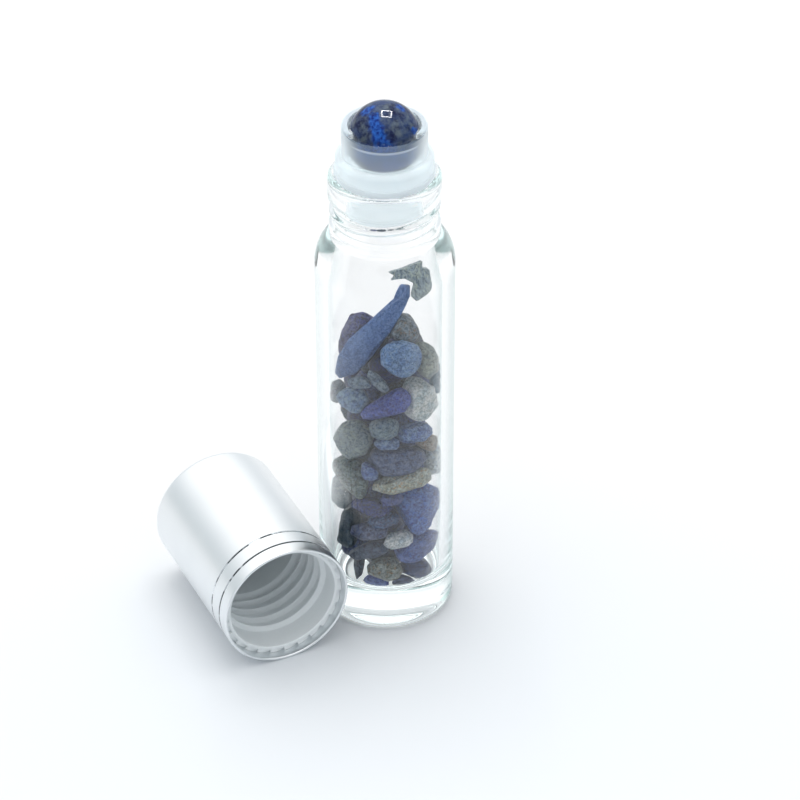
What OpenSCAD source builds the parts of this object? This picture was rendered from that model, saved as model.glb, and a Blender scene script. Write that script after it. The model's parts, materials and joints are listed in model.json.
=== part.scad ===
// Roll-on bottle of clear glass, filled with stone chips, with a stone roller ball.
// Its screw cap has been taken off and lies beside it on its side, with the mouth towards the viewer.
// Origin: centre of the bottle's base, +Z up the bottle, the viewer on the -Y side. Millimetres.

/* [Bottle] */
// Outer radius of the glass body
bottle_r = 10; // [9:0.1:12]
// Thickness of the glass wall
bottle_wall = 1.8; // [1.4:0.1:2.2]
// Height of the straight body, from the base to the start of the shoulder
body_h = 59.4; // [54:0.2:70]
// Thickness of the glass base
base_t = 5.8; // [4:0.1:7]
// Radius of the rounded heel
heel_r = 1.6; // [1:0.1:2.4]
// Width of the flat ring that the bottle stands on
foot_w = 1.4; // [0.8:0.1:2]
// Depth of the hollow under the base
push_up = 0.7; // [0.3:0.1:1.2]
// Radius of the rounded corner inside the base
inner_corner_r = 2.4; // [1:0.1:3]
// Radius of the shoulder's curve
shoulder_r = 6.9; // [6.2:0.1:7.6]

/* [Neck] */
// Radius of the neck between its rings
neck_r = 7.35; // [7:0.05:7.6]
// Height of the neck, from the shoulder to the glass mouth
neck_h = 9.6; // [8.6:0.1:12]
// Radius of the ring at the root of the neck
root_ring_r = 7.9; // [7.7:0.05:8]
// Height of the ring at the root of the neck
root_ring_h = 1.7; // [1.2:0.1:2]
// Radius of the finish ring at the mouth
finish_r = 8.05; // [7.8:0.05:8.1]
// Height of the finish ring
finish_h = 3.3; // [2.6:0.1:3.8]
// Radius of the glass lip's round edge
lip_round = 0.8; // [0.4:0.1:1.2]
// Radius of the bore through the neck
bore_r = 5.6; // [5.5:0.05:5.7]
// Height of the bore's lower end over the root of the neck
bore_rise = 1.15; // [0.6:0.05:1.5]

/* [Roller] */
// Radius of the roller ball
ball_r = 5; // [4.9:0.05:5.1]
// Running clearance between the ball and its socket
ball_gap = 0.08; // [0.05:0.01:0.1]
// Height of the ball's centre under the lip of the housing
ball_sink = 1.8; // [1.5:0.1:2]
// Thickness of plastic under the ball
web_t = 0.9; // [0.7:0.1:1.4]
// Radius of the flange that sits on the glass mouth
flange_r = 7.1; // [7:0.05:7.4]
// Thickness of the flange
flange_t = 1.1; // [0.8:0.1:1.4]
// Radius of the step above the flange
step_r = 6.95; // [6.85:0.05:7]
// Height of the step above the flange
step_h = 2.3; // [1.8:0.1:2.8]
// Radius of the collar round the ball
collar_r = 6.05; // [6:0.05:6.3]
// Length of the plug in the neck
plug_h = 6.2; // [5:0.1:7]
// Radius of the plug between its sealing ribs
plug_r = 5.3; // [5.1:0.05:5.4]
// Radius of the plug's inside
plug_bore_r = 4.3; // [3.8:0.1:4.5]
// Radius of the feed hole under the ball
feed_r = 3; // [2:0.1:3.4]

/* [Cap] */
// Length of the shell
cap_h = 27.2; // [27:0.2:32]
// Thickness of the aluminium
cap_wall = 0.45; // [0.3:0.05:0.5]
// Radius of the edge round the closed end
crown_r = 1.1; // [0.6:0.1:2]
// Distance from the mouth to the first turned groove
groove_1_up = 2.3; // [1.8:0.1:3]
// Distance from the mouth to the second turned groove
groove_2_up = 5; // [4:0.1:6]
// Width of a turned groove
groove_w = 0.35; // [0.2:0.05:0.5]
// Depth of a turned groove
groove_d = 0.16; // [0.1:0.01:0.2]
// Distance that the liner's rim lies inside the mouth
liner_recess = 1.4; // [1:0.1:2]
// Clearance between the neck's finish ring and the liner's wide bore
finish_gap = 0.25; // [0.2:0.05:0.4]
// Clearance between the housing's flange and the liner's narrower bore
flange_gap = 0.3; // [0.2:0.05:0.4]
// Wall of the liner round its wide bore
liner_wall = 1.02; // [0.9:0.02:1.2]
// Length of the liner's wide bore
liner_bore_h = 11.6; // [11:0.1:13]
// Thickness of the liner's closed end
liner_end_t = 1.2; // [0.8:0.1:1.6]
// Wall of the seal ring inside the liner's closed end
seal_wall = 0.9; // [0.6:0.1:1]
// Number of saw-tooth notches round the liner's rim
notch_count = 26; // [20:1:32]
// Depth of a notch
notch_d = 0.55; // [0.3:0.05:0.8]

/* [How the cap lies] */
// Direction in which the cap's mouth points, as an angle from +X
cap_turn = -65; // [-80:1:-50]
// Distance that the mouth lies beyond the point nearest the bottle
cap_reach = 8.6; // [4:0.2:12]
// Gap between the cap and the bottle
cap_gap = 0.2; // [0.1:0.1:2]

/* [Stone chips] */
// Free height over the heap, up to the start of the neck's bore
head_room = 15; // [10:0.1:20]
// Length that the chips' sizes are shares of
chip_size = 8.8; // [7.6:0.2:9.6]
// Gap between neighbouring chips
chip_gap = 0.12; // [0.05:0.01:0.3]
// Gap between the chips and the glass
wall_gap = 0.1; // [0.05:0.01:0.3]
// Angle by which the front chips' flat sides lean back
chip_lean = 35; // [0:1:50]

/* [Hidden] */
// Clearance of parts that are pressed together
fit_gap = 0.03;
// Overrun of a cut past the face it opens
over = 0.5;
// Steps in a quarter round of an outline
arc_steps = 6;

// Bottle heights and radii that follow from the driving sizes
inner_r = bottle_r - bottle_wall;
shoulder_c = bottle_r - shoulder_r;
root_z = body_h + rise(shoulder_r, root_ring_r - shoulder_c);
mouth_z = root_z + neck_h;
throat_z = root_z + bore_rise;
inner_shoulder_z = body_h - bottle_wall / 2;
heap_h = throat_z - head_room - base_t;
foot_out_r = bottle_r - heel_r;
foot_in_r = foot_out_r - foot_w;
ring_slope = root_ring_r - neck_r;
finish_slope = finish_r - neck_r;
mouth_round = lip_round / 2;

// Housing heights
socket_r = ball_r + ball_gap;
ball_z = mouth_z + web_t + socket_r;
lip_z = ball_z + ball_sink;
flange_z = mouth_z + flange_t;
step_z = flange_z + step_h;
step_round = step_r - collar_r;
collar_round = (collar_r - socket_r) / 2;
rib_r = bore_r - fit_gap;
rib_h = plug_h / 8;
plug_taper = plug_r - plug_bore_r;
plug_bore_top = mouth_z - web_t / 4;

// Cap radii, from the neck outwards
liner_bore_r = finish_r + finish_gap;
liner_top_bore_r = flange_r + flange_gap;
liner_r = liner_bore_r + liner_wall;
shell_bore_r = liner_r + fit_gap;
cap_r = shell_bore_r + cap_wall;

// Cap lengths, counted from its mouth. The screwed-on cap's mouth comes down to the shoulder.
liner_top = cap_h - cap_wall - fit_gap;
liner_end = liner_top - liner_end_t;
closed_mouth_z = body_h + rise(shoulder_r, min(shell_bore_r - shoulder_c, shoulder_r));
seal_depth = lip_z - closed_mouth_z;
seal_out_r = collar_r - collar_round / 2;
seal_in_r = seal_out_r - seal_wall;
inner_crown_r = crown_r - cap_wall;
notch_in_r = (liner_bore_r + liner_r) / 2 - fit_gap;
notch_w_share = 0.62;

// Height of a circle's point above its centre line, for a given reach from the centre
function rise(r, reach) = sqrt(r * r - reach * reach);

// Points of an oval's arc, and of a circle's, in an outline
function oval(cx, cy, wide, tall, from, to, steps = arc_steps) =
    [for (k = [0 : steps]) let (a = from + (to - from) * k / steps) [cx + wide * cos(a), cy + tall * sin(a)]];
function arc(cx, cy, r, from, to, steps = arc_steps) = oval(cx, cy, r, r, from, to, steps);

shoulder_end = asin((root_z - body_h) / shoulder_r);

// The inner shoulder is part of an oval that has swung through this angle where it meets the bore
throat_angle = 70;
inner_wide = (inner_r - bore_r) / (1 - cos(throat_angle));
inner_tall = (throat_z - inner_shoulder_z) / sin(throat_angle);

glass_outline = concat(
    [[0, push_up], [foot_in_r / 2, push_up * 0.8]],
    [[foot_in_r, 0]],
    arc(bottle_r - heel_r, heel_r, heel_r, -90, 0),
    arc(shoulder_c, body_h, shoulder_r, 0, shoulder_end, arc_steps * 2),
    [[root_ring_r, root_z + root_ring_h],
     [neck_r, root_z + root_ring_h + ring_slope],
     [neck_r, mouth_z - finish_h - finish_slope],
     [finish_r, mouth_z - finish_h]],
    arc(finish_r - lip_round, mouth_z - lip_round, lip_round, 0, 90),
    arc(bore_r + mouth_round, mouth_z - mouth_round, mouth_round, 90, 180, arc_steps / 2),
    oval(inner_r - inner_wide, inner_shoulder_z, inner_wide, inner_tall, throat_angle, 0, arc_steps * 2),
    arc(inner_r - inner_corner_r, base_t + inner_corner_r, inner_corner_r, 0, -90),
    [[0, base_t]]);

module glass_bottle() {
    color([0.82, 0.92, 0.9, 0.35]) rotate_extrude($fn = 96) polygon(glass_outline);
}

// One sealing rib on the plug, rounded towards the bore
function rib(z) = [
    [plug_r, z - rib_h], [rib_r, z - rib_h / 3], [rib_r, z + rib_h / 3], [plug_r, z + rib_h]];

housing_outline = concat(
    [[plug_bore_r, mouth_z - plug_h], [plug_bore_r + plug_taper / 2, mouth_z - plug_h]],
    [[plug_r, mouth_z - plug_h + plug_taper]],
    rib(mouth_z - plug_h * 0.62),
    rib(mouth_z - plug_h * 0.28),
    [[plug_r, mouth_z], [flange_r, mouth_z], [flange_r, flange_z], [step_r, flange_z]],
    arc(step_r - step_round, step_z - step_round, step_round, 0, 90),
    [[collar_r, step_z]],
    arc(collar_r - collar_round, lip_z - collar_round, collar_round, 0, 90),
    [[0, lip_z], [0, plug_bore_top], [plug_bore_r - plug_taper, plug_bore_top]],
    [[plug_bore_r, plug_bore_top - plug_taper]]);

module roller_housing() {
    color([0.9, 0.94, 0.96, 0.7]) difference() {
        rotate_extrude($fn = 96) polygon(housing_outline);
        translate([0, 0, ball_z]) sphere(r = socket_r, $fn = 96);
        translate([0, 0, plug_bore_top - over]) cylinder(r = feed_r, h = ball_z - plug_bore_top, $fn = 48);
    }
}

module roller_ball() {
    color([0.1, 0.16, 0.5]) translate([0, 0, ball_z]) sphere(r = ball_r, $fn = 96);
}

// Lays a cap piece, drawn standing on its mouth, on its side next to the bottle
module lay_cap() {
    rotate([0, 0, cap_turn])
        translate([cap_reach, -(bottle_r + cap_gap + cap_r), cap_r])
            rotate([0, -90, 0]) children();
}

// Outline of one turned groove in the shell's outside
function groove(up) = [
    [cap_r, up + groove_w / 2], [cap_r - groove_d, up + groove_w / 4],
    [cap_r - groove_d, up - groove_w / 4], [cap_r, up - groove_w / 2]];

shell_outline = concat(
    [[0, cap_h]],
    arc(cap_r - crown_r, cap_h - crown_r, crown_r, 90, 0),
    groove(groove_2_up),
    groove(groove_1_up),
    [[cap_r, cap_wall / 2], [cap_r - cap_wall / 2, 0], [shell_bore_r, 0]],
    arc(shell_bore_r - inner_crown_r, cap_h - crown_r, inner_crown_r, 0, 90),
    [[0, cap_h - cap_wall]]);

module cap_shell() {
    color([0.8, 0.82, 0.85]) lay_cap() rotate_extrude($fn = 96) polygon(shell_outline);
}

liner_outline = concat(
    [[0, liner_top]],
    arc(liner_r - inner_crown_r, liner_top - inner_crown_r, inner_crown_r, 90, 0),
    [[liner_r, liner_recess], [liner_bore_r, liner_recess],
     [liner_bore_r, liner_recess + liner_bore_h],
     [liner_top_bore_r, liner_recess + liner_bore_h + liner_bore_r - liner_top_bore_r],
     [liner_top_bore_r, liner_end],
     [seal_out_r, liner_end], [seal_out_r, seal_depth + collar_round],
     [seal_out_r - collar_round, seal_depth], [seal_in_r, seal_depth],
     [seal_in_r, liner_end], [0, liner_end]]);

// One saw-tooth notch: deepest at its steep side, running out to nothing at the other
module notch() {
    w = notch_w_share * 2 * PI * notch_in_r / notch_count;
    translate([notch_in_r, -w / 2, liner_recess]) rotate([90, 0, 90])
        linear_extrude(height = liner_r - notch_in_r + over)
            polygon([[0, -over], [w, -over], [w, 0], [0, notch_d]]);
}

module cap_liner() {
    color([0.96, 0.97, 0.98]) lay_cap() difference() {
        rotate_extrude($fn = 96) polygon(liner_outline);
        for (k = [0 : notch_count - 1]) rotate([0, 0, 360 * k / notch_count]) notch();
    }
}

// The chips that show from the front, each a row:
// name, colour, place [across, depth, height] as shares of the bottle's inner radius and the heap's height,
// half sizes [length, width, thickness] as shares of the chip size, tilt in degrees in the leaning plane,
// squareness (2 is an oval, more is a block), taper (how much the far end is wider than the near one) and,
// where it isn't the common one, the lean of its plane.
chip_shares = [
    ["chip_dark_splinter", 0, [-0.46, -0.74, 0.085], [0.27, 0.07, 0.10], 84, 3, 0.2],
    ["chip_base_beige", 1, [0.00, -0.66, 0.06], [0.35, 0.27, 0.30], 10, 2.6, 0.2],
    ["chip_base_blue", 2, [0.47, -0.58, 0.05], [0.28, 0.20, 0.26], -14, 3, 0],
    ["chip_base_grey", 3, [0.28, -0.72, 0.024], [0.22, 0.12, 0.16], 5, 2.4, 0],
    ["chip_base_sliver", 2, [-0.14, -0.74, 0.028], [0.22, 0.12, 0.16], -8, 3, 0],
    ["chip_indigo_low", 2, [0.53, -0.58, 0.155], [0.38, 0.24, 0.24], 26, 3, -0.3],
    ["chip_pale_bright", 4, [0.20, -0.76, 0.20], [0.24, 0.15, 0.18], 12, 2.4, 0.1],
    ["chip_grey_bar", 3, [-0.34, -0.74, 0.15], [0.38, 0.13, 0.18], 16, 3, 0.2],
    ["chip_purple_grey", 5, [-0.32, -0.70, 0.23], [0.34, 0.17, 0.20], 4, 3, 0],
    ["chip_dark_left", 0, [-0.62, -0.56, 0.22], [0.38, 0.18, 0.22], 84, 3, 0],
    ["chip_blue_oval", 6, [-0.05, -0.78, 0.285], [0.27, 0.16, 0.18], 6, 2.2, 0],
    ["chip_gloss_blue", 2, [-0.21, -0.75, 0.335], [0.34, 0.17, 0.20], -14, 2.4, 0.2],
    ["chip_gloss_small", 2, [0.08, -0.76, 0.37], [0.20, 0.13, 0.16], 10, 2.4, 0],
    ["chip_blue_triangle", 2, [0.60, -0.58, 0.30], [0.50, 0.42, 0.20], 82, 4, 0.75],
    ["chip_olive_tall", 1, [-0.55, -0.62, 0.44], [0.40, 0.23, 0.22], -66, 3, -0.5],
    ["chip_grey_left", 3, [-0.78, -0.36, 0.35], [0.30, 0.20, 0.22], 84, 2.2, 0],
    ["chip_beige_slab", 1, [0.34, -0.72, 0.44], [0.55, 0.18, 0.22], 16, 5, 0],
    ["chip_purple_block", 5, [0.14, -0.70, 0.51], [0.54, 0.25, 0.24], 6, 4, -0.15],
    ["chip_light_corner", 6, [-0.27, -0.80, 0.49], [0.17, 0.13, 0.14], -60, 2.6, 0.3],
    ["chip_beige_right", 1, [0.82, -0.34, 0.47], [0.28, 0.16, 0.20], 84, 2.6, 0],
    ["chip_amber", 7, [0.70, -0.54, 0.57], [0.24, 0.15, 0.16], -24, 2.4, 0],
    ["chip_grey_lump", 3, [-0.57, -0.60, 0.59], [0.36, 0.32, 0.28], 30, 2.3, 0],
    ["chip_blue_middle", 6, [0.46, -0.64, 0.62], [0.30, 0.16, 0.18], 6, 3, 0],
    ["chip_grey_middle", 3, [-0.02, -0.74, 0.65], [0.23, 0.21, 0.20], 0, 2.4, 0],
    ["chip_blue_small", 6, [0.02, -0.80, 0.60], [0.21, 0.11, 0.14], 0, 2.4, 0],
    ["chip_pale_teardrop", 4, [0.64, -0.59, 0.745], [0.46, 0.40, 0.24], -40, 2.6, 0.1],
    ["chip_indigo_wedge", 2, [0.05, -0.76, 0.745], [0.44, 0.19, 0.19], 25, 3, 0.35],
    ["chip_blue_round", 6, [-0.53, -0.62, 0.75], [0.25, 0.22, 0.22], -30, 2.2, 0],
    ["chip_small_left", 3, [-0.80, -0.38, 0.75], [0.19, 0.11, 0.14], 86, 3, 0],
    ["chip_pale_oval", 4, [-0.42, -0.72, 0.83], [0.19, 0.10, 0.12], -8, 2.2, 0],
    ["chip_pale_finger", 4, [-0.13, -0.78, 0.84], [0.24, 0.09, 0.12], -46, 2.4, 0],
    ["chip_speckled_round", 8, [0.27, -0.62, 0.91], [0.34, 0.34, 0.30], 0, 2.2, 0],
    ["chip_teal_edge", 6, [0.83, -0.34, 0.79], [0.36, 0.09, 0.18], 86, 3, 0],
    ["chip_beige_upper", 1, [0.68, -0.48, 0.885], [0.32, 0.18, 0.20], 106, 2.6, 0],
    ["chip_beige_behind", 1, [0.29, -0.26, 0.98], [0.32, 0.24, 0.24], -54, 2.6, 0],
    ["chip_purple_top", 5, [-0.50, -0.04, 0.928], [0.40, 0.29, 0.20], 56, 3, 0.4],
    ["chip_slate_blade", 9, [-0.155, -0.26, 0.962], [0.98, 0.25, 0.12], 48, 3.4, -0.22, 10]];

// The fish-tailed shard on the blade's upper end: its outline as shares of the chip size, seen face on
shard_shares = [
    [-0.38, 0.09], [-0.10, 0.13], [0.25, 0.22], [0.22, 0.13], [0.34, 0.12], [0.31, -0.02], [0.22, -0.13],
    [0.04, -0.24], [-0.04, -0.14], [0.04, -0.04], [-0.12, 0.01], [-0.35, 0.00], [-0.28, 0.05]];
// Its place from the blade's centre and its thickness, as shares of the chip size
shard_reach_shares = [0.583, 0.044, 0.877];
shard_t_share = 0.15;
// How far its right end turns back, in degrees
shard_turn_angle = 8;

// The chips in the middle and at the back: in each layer two at the core, then a row round the back.
// Each layer is turned against the last.
layer_count = 7;
layer_chip_count = 5;
core_chip_count = 2;
core_turn_angle = 24;
back_turn_angle = 45;
back_swing_angle = 8;
// Their reach from the bottle's axis, as shares of its inner radius
core_reach_share = 0.26;
back_reach_share = 0.56;
// Their half sizes, as shares of the chip size
back_half_shares = [0.40, 0.34, 0.36];
back_square_power = 2.6;
// Greatest differences from chip to chip: in place, in size, in taper and in tilt
place_rough_share = 0.03;
size_rough_share = 0.12;
taper_rough_share = 0.25;
tilt_rough_angle = 90;
lean_rough_angle = 40;
// Height that the chips at the back reach, as a share of the heap's height
back_height_share = 0.9;
// How far a chip may sit from the middle of its layer, as a share of the layer
layer_rough_share = 0.2;
// How much the chips at the back give way to those at the front
back_give_share = 0.8;
// Colours that the chips at the back take in turn
back_colours = [1, 2, 3, 5, 6, 2, 3, 0];
// Greatest roughness of a chip's corners, as a share of its size
rough_share = 0.12;
// Chips closer than this share of the chip size are parted by a plane
near_share = 2.4;
// Least length of a cut-back spoke, as a share of the chip size
least_share = 0.01;

colours = [
    [0.13, 0.14, 0.2], [0.62, 0.58, 0.5], [0.16, 0.2, 0.5], [0.5, 0.51, 0.5], [0.75, 0.72, 0.66],
    [0.27, 0.25, 0.4], [0.3, 0.38, 0.58], [0.6, 0.42, 0.28], [0.36, 0.42, 0.6], [0.25, 0.32, 0.5]];

// Seeded values between -1 and 1
function rough(seed, count) = rands(-1, 1, count, seed);

// Turns a vector by an angle about X, Y or Z
function about_x(v, a) = [v.x, v.y * cos(a) - v.z * sin(a), v.y * sin(a) + v.z * cos(a)];
function about_y(v, a) = [v.x * cos(a) + v.z * sin(a), v.y, v.z * cos(a) - v.x * sin(a)];
function about_z(v, a) = [v.x * cos(a) - v.y * sin(a), v.x * sin(a) + v.y * cos(a), v.z];

// A chip's three half axes: length and width in the leaning plane, thickness square to it
function chip_axes(half, tilt, turn, lean) = [
    for (a = [[half[0], 0, 0], [0, 0, half[1]], [0, half[2], 0]])
        about_z(about_x(about_y(a, -tilt), -lean), turn)];

function heap_place(share) = [share[0] * inner_r, share[1] * inner_r, base_t + share[2] * heap_h];

// Chips as [name, colour, centre, half axes, squareness, taper, give]
front_chips = [for (c = chip_shares)
    [c[0], c[1], heap_place(c[2]), chip_axes(c[3] * chip_size, c[4], 0, is_undef(c[7]) ? chip_lean : c[7]),
     c[5], c[6], 1]];

function back_chip(layer, k) =
    let (seed = layer * layer_chip_count + k + 1, v = rough(seed, 6), core = k < core_chip_count,
         turn = core ? 360 / core_chip_count * k + core_turn_angle * layer
                     : back_turn_angle * (k - (layer_chip_count + core_chip_count - 1) / 2)
                       + back_swing_angle * (layer % 2 * 2 - 1 + v[0] / 2),
         reach = (core ? core_reach_share : back_reach_share) + place_rough_share * v[1],
         up = back_height_share * (layer + 1 / 2 + layer_rough_share * v[2]) / layer_count)
    [str("back_chips_", layer + 1), back_colours[seed % len(back_colours)],
     heap_place([reach * sin(turn), reach * cos(turn), up]),
     chip_axes(back_half_shares * chip_size * (1 + size_rough_share * v[3]),
               tilt_rough_angle * v[4], -turn, lean_rough_angle * v[5]),
     back_square_power, taper_rough_share * v[0], back_give_share];

back_chips = [for (layer = [0 : layer_count - 1]) for (k = [0 : layer_chip_count - 1]) back_chip(layer, k)];
all_chips = concat(front_chips, back_chips);

// How far a chip reaches from its centre along a unit direction
function reach_along(c, n) = norm([c[3][0] * n, c[3][1] * n, c[3][2] * n]);

// Direction of the best parting plane between two chips, from the spread of both
function spread(c) = let (a = c[3])
    [for (i = [0 : 2]) [for (j = [0 : 2]) a[0][i] * a[0][j] + a[1][i] * a[1][j] + a[2][i] * a[2][j]]];
function solve(m, v) = let (size = m[0] * cross(m[1], m[2]))
    [v * cross(m[1], m[2]), v * cross(m[2], m[0]), v * cross(m[0], m[1])] / size;
function unit(v) = v / norm(v);
function parting(c, d) = unit(solve(spread(c) + spread(d), d[2] - c[2]));

// The planes that bound a chip, each [outward normal, distance from the chip's centre]
function chip_planes(i) = let (c = all_chips[i]) concat(
    [for (j = [0 : len(all_chips) - 1]) if (j != i && norm(all_chips[j][2] - c[2]) < near_share * chip_size)
        let (d = all_chips[j], n = parting(c, d), apart = n * (d[2] - c[2]),
             mine = reach_along(c, n) * c[6], theirs = reach_along(d, n) * d[6])
        [n, apart * mine / (mine + theirs) - chip_gap / 2]],
    glass_planes(c[2]));

// The inside of the glass as flat strips: the wall, the rounded corner and the floor
wall_strips = 24;
function glass_planes(p) = let (r = (inner_r - wall_gap) * cos(180 / wall_strips)) concat(
    [[[0, 0, -1], p.z - base_t - wall_gap]],
    [for (k = [0 : wall_strips - 1]) for (down = [0, 45])
        let (a = 360 * k / wall_strips, n = [cos(a) * cos(down), sin(a) * cos(down), -sin(down)],
             corner = [r - inner_corner_r, base_t + inner_corner_r],
             reach = corner * [cos(down), -sin(down)] + inner_corner_r)
        [n, reach - n * p]]);

// The share of a spoke that stays inside every plane
function inside(spoke, planes) =
    min([1, for (p = planes) let (out = p[0] * spoke)
        if (out > p[1]) max(p[1], least_share * chip_size) / out]);

// Corners of a chip: points spread over a ball, squared off, tapered, roughened and cut back by the planes
ring_points = 8;
rings = 5;
ball_points = concat([[0, 0, -1]],
    [for (k = [1 : rings]) for (j = [0 : ring_points - 1])
        let (up = 180 * k / (rings + 1) - 90, a = (j + k / 2) * 360 / ring_points)
        [cos(up) * cos(a), cos(up) * sin(a), sin(up)]],
    [[0, 0, 1]]);
last_ring = 1 + (rings - 1) * ring_points;
// Their faces. A chip's axes are left-handed (length, width, thickness), so the faces wind to suit that.
ball_faces = concat(
    [for (j = [0 : ring_points - 1]) [0, 1 + (j + 1) % ring_points, 1 + j]],
    [for (k = [0 : rings - 2]) for (j = [0 : ring_points - 1])
        let (a = 1 + k * ring_points + j, b = 1 + k * ring_points + (j + 1) % ring_points,
             c = a + ring_points, d = b + ring_points) each [[a, b, c], [b, d, c]]],
    [for (j = [0 : ring_points - 1])
        [last_ring + j, last_ring + (j + 1) % ring_points, last_ring + ring_points]]);

function power_size(v, p) = pow(pow(abs(v.x), p) + pow(abs(v.y), p) + pow(abs(v.z), p), 1 / p);

function chip_points(i) =
    let (c = all_chips[i], planes = chip_planes(i), v = rough(i + 7, len(ball_points)))
    [for (k = [0 : len(ball_points) - 1])
        let (q = ball_points[k] / power_size(ball_points[k], c[4]) * (1 + rough_share * v[k]),
             spoke = q.x * c[3][0] + q.y * (1 + c[5] * q.x) * c[3][1] + q.z * c[3][2])
        c[2] + spoke * inside(spoke, planes)];

module chip(i) {
    color(colours[all_chips[i][1]]) polyhedron(points = chip_points(i), faces = ball_faces);
}

module tail_shard() {
    blade = front_chips[len(front_chips) - 1];
    color(colours[1]) translate(blade[2] + shard_reach_shares * chip_size)
        rotate([0, 0, shard_turn_angle]) rotate([90 - chip_lean, 0, 0])
            translate([0, 0, -shard_t_share * chip_size / 2])
                linear_extrude(height = shard_t_share * chip_size) polygon(shard_shares * chip_size);
}

glass_bottle();
roller_housing();
roller_ball();
cap_shell();
cap_liner();
tail_shard();  // chip_tail_shard
for (i = [0 : len(all_chips) - 1]) chip(i);
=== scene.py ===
"""Roll-on bottle with stone chips and its cap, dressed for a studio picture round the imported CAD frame."""
import json
import math

import bmesh
import bpy
from mathutils import Euler, Matrix, Vector, noise


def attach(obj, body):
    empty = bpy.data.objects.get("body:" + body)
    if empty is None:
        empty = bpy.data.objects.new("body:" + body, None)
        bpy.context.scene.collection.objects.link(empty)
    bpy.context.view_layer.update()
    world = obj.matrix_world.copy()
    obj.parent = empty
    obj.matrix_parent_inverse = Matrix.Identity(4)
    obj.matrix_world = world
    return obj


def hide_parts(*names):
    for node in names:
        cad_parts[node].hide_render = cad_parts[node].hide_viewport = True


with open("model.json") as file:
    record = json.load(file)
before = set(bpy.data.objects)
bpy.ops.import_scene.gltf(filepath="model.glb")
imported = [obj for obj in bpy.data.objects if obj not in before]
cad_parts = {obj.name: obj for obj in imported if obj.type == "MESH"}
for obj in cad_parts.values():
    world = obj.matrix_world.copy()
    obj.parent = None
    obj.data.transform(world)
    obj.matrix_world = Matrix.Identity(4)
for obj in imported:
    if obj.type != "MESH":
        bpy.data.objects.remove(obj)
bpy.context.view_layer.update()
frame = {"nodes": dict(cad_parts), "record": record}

# Shapes are drawn in millimetres and brought to metres when a piece is finished
MM = 0.001
MERGE_DIST = 1e-4
CAD_MERGE_DIST = 1e-3

# Bottle
BODY_R = 10.0
INNER_R = 8.2
BODY_H = 59.4
SHOULDER_R = 6.9
SHOULDER_CENTRE_R = 3.1
INNER_SHOULDER_Z = 58.5
THROAT_ANGLE = 70
FLOOR_Z = 5.8
FLOOR_CORNER_R = 2.4
FLOOR_RING_SHARE = 0.35
HEEL_R = 1.6
FOOT_IN_R = 7.0
FOOT_EDGE = 0.1
FOOT_STEPS = 8
PUSH_UP = 0.7
PUSH_UP_POWER = 3
WALL_CLEAR = 4
INNER_CLEAR = 6
ROOT_R = 7.9
ROOT_Z = 64.357
ROOT_TOP_Z = 66.06
ROOT_FADE = 0.9
NECK_R = 7.35
NECK_STEPS = 42
NECK_MARGIN = 0.1
NECK_WALL = 0.5
FINISH_R = 8.05
FINISH_Z = 70.66
FINISH_FADE = 0.8
FINISH_CLEAR = 0.4
MOUTH_Z = 73.957
LIP_R = 0.8
BORE_R = 5.6
THROAT_Z = 65.507

# The helical ridges on the neck and in the liner: the height where each passes angle 0, and the angles
# where it starts and ends, with the stretch over which it rises or fades
THREAD_PITCH = 2.2
NECK_THREAD = {"turns": range(-2, 2), "zero_z": 69.3, "first": -330, "first_fade": 40, "last": 40,
               "last_fade": 14, "half_w": 0.9, "flank_share": 0.9, "height": 0.52}
LINER_THREAD = {"turns": range(-1, 5), "zero_z": 4.7, "first": 0, "first_fade": 20, "last": 3.6 * 360,
                "last_fade": 20, "half_w": 0.62, "flank_share": 0.85, "height": 0.7}

# Roller
BALL_R = 5.0
SOCKET_R = 5.08
SOCKET_EDGE_ANGLE = 1.2
POCKET_FLOOR_Z = 75.86
POCKET_CHAMFER = 0.4
BALL_Z = 79.937
HOUSING_LIP_Z = 81.737
LIP_EDGE_R = 0.3
COLLAR_R = 6.05
COLLAR_FILLET_R = 0.04
COLLAR_FILLET_H = 0.12
COLLAR_CLEAR = 0.5
STEP_R = 6.95
STEP_Z = 77.357
STEP_EDGE_R = 0.9
STEP_EDGE_ANGLE = 88
STEP_FOOT = 0.06
FLANGE_R = 7.1
FLANGE_Z = 75.057
FLANGE_EDGE_R = 0.12
FLANGE_LIFT = 0.01
PLUG_R = 5.3
PLUG_BORE_R = 4.3
PLUG_H = 6.2
PLUG_RIB_R = 5.57
PLUG_RIB_FOOT = 0.78
PLUG_RIB_CREST = 0.26
PLUG_RIB_SHARES = (0.62, 0.28)
FEED_R = 3.0
WEB_LOW_Z = 73.732

# Cap, measured from its mouth
CAP_R = 9.8
CAP_H = 27.2
CAP_WALL = 0.45
CROWN_R = 1.1
CROWN_RING_SHARE = 0.7
SHELL_CLEAR = 1.0
GROOVES = (2.3, 5.0)
GROOVE_HALF_W = 0.175
GROOVE_D = 0.16
GROOVE_EDGE_SHARES = (0.7, 1.2)
LINER_R = 9.32
LINER_RIM_Z = 1.4
LINER_EDGE = 0.12
LINER_WALL_CLEAR = 1.2
LINER_CROWN_R = 0.65
LINER_BORE_R = 8.3
LINER_BORE_STEPS = 84
LINER_STEP_Z = 13.0
LINER_STEP_SLOPE = 0.9
LINER_TOP_BORE_R = 7.4
LINER_END_Z = 25.52
LINER_TOP_Z = 26.72
SEAL_OUT_R = 5.81
SEAL_OUT_CHAMFER = 0.24
SEAL_IN_R = 4.91
SEAL_IN_CHAMFER = 0.1
SEAL_Z = 19.41
NOTCHES = 26
NOTCH_D = 0.42
NOTCH_IN_R = 8.78
NOTCH_EDGE = 0.02
NOTCH_SHARE = 0.62
NOTCH_STEEP_SHARE = 0.01
NOTCH_COLUMN_SHARES = (0.0, 0.015, 0.2, 0.4, 0.6, 0.64, 0.8, 0.95)
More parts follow.
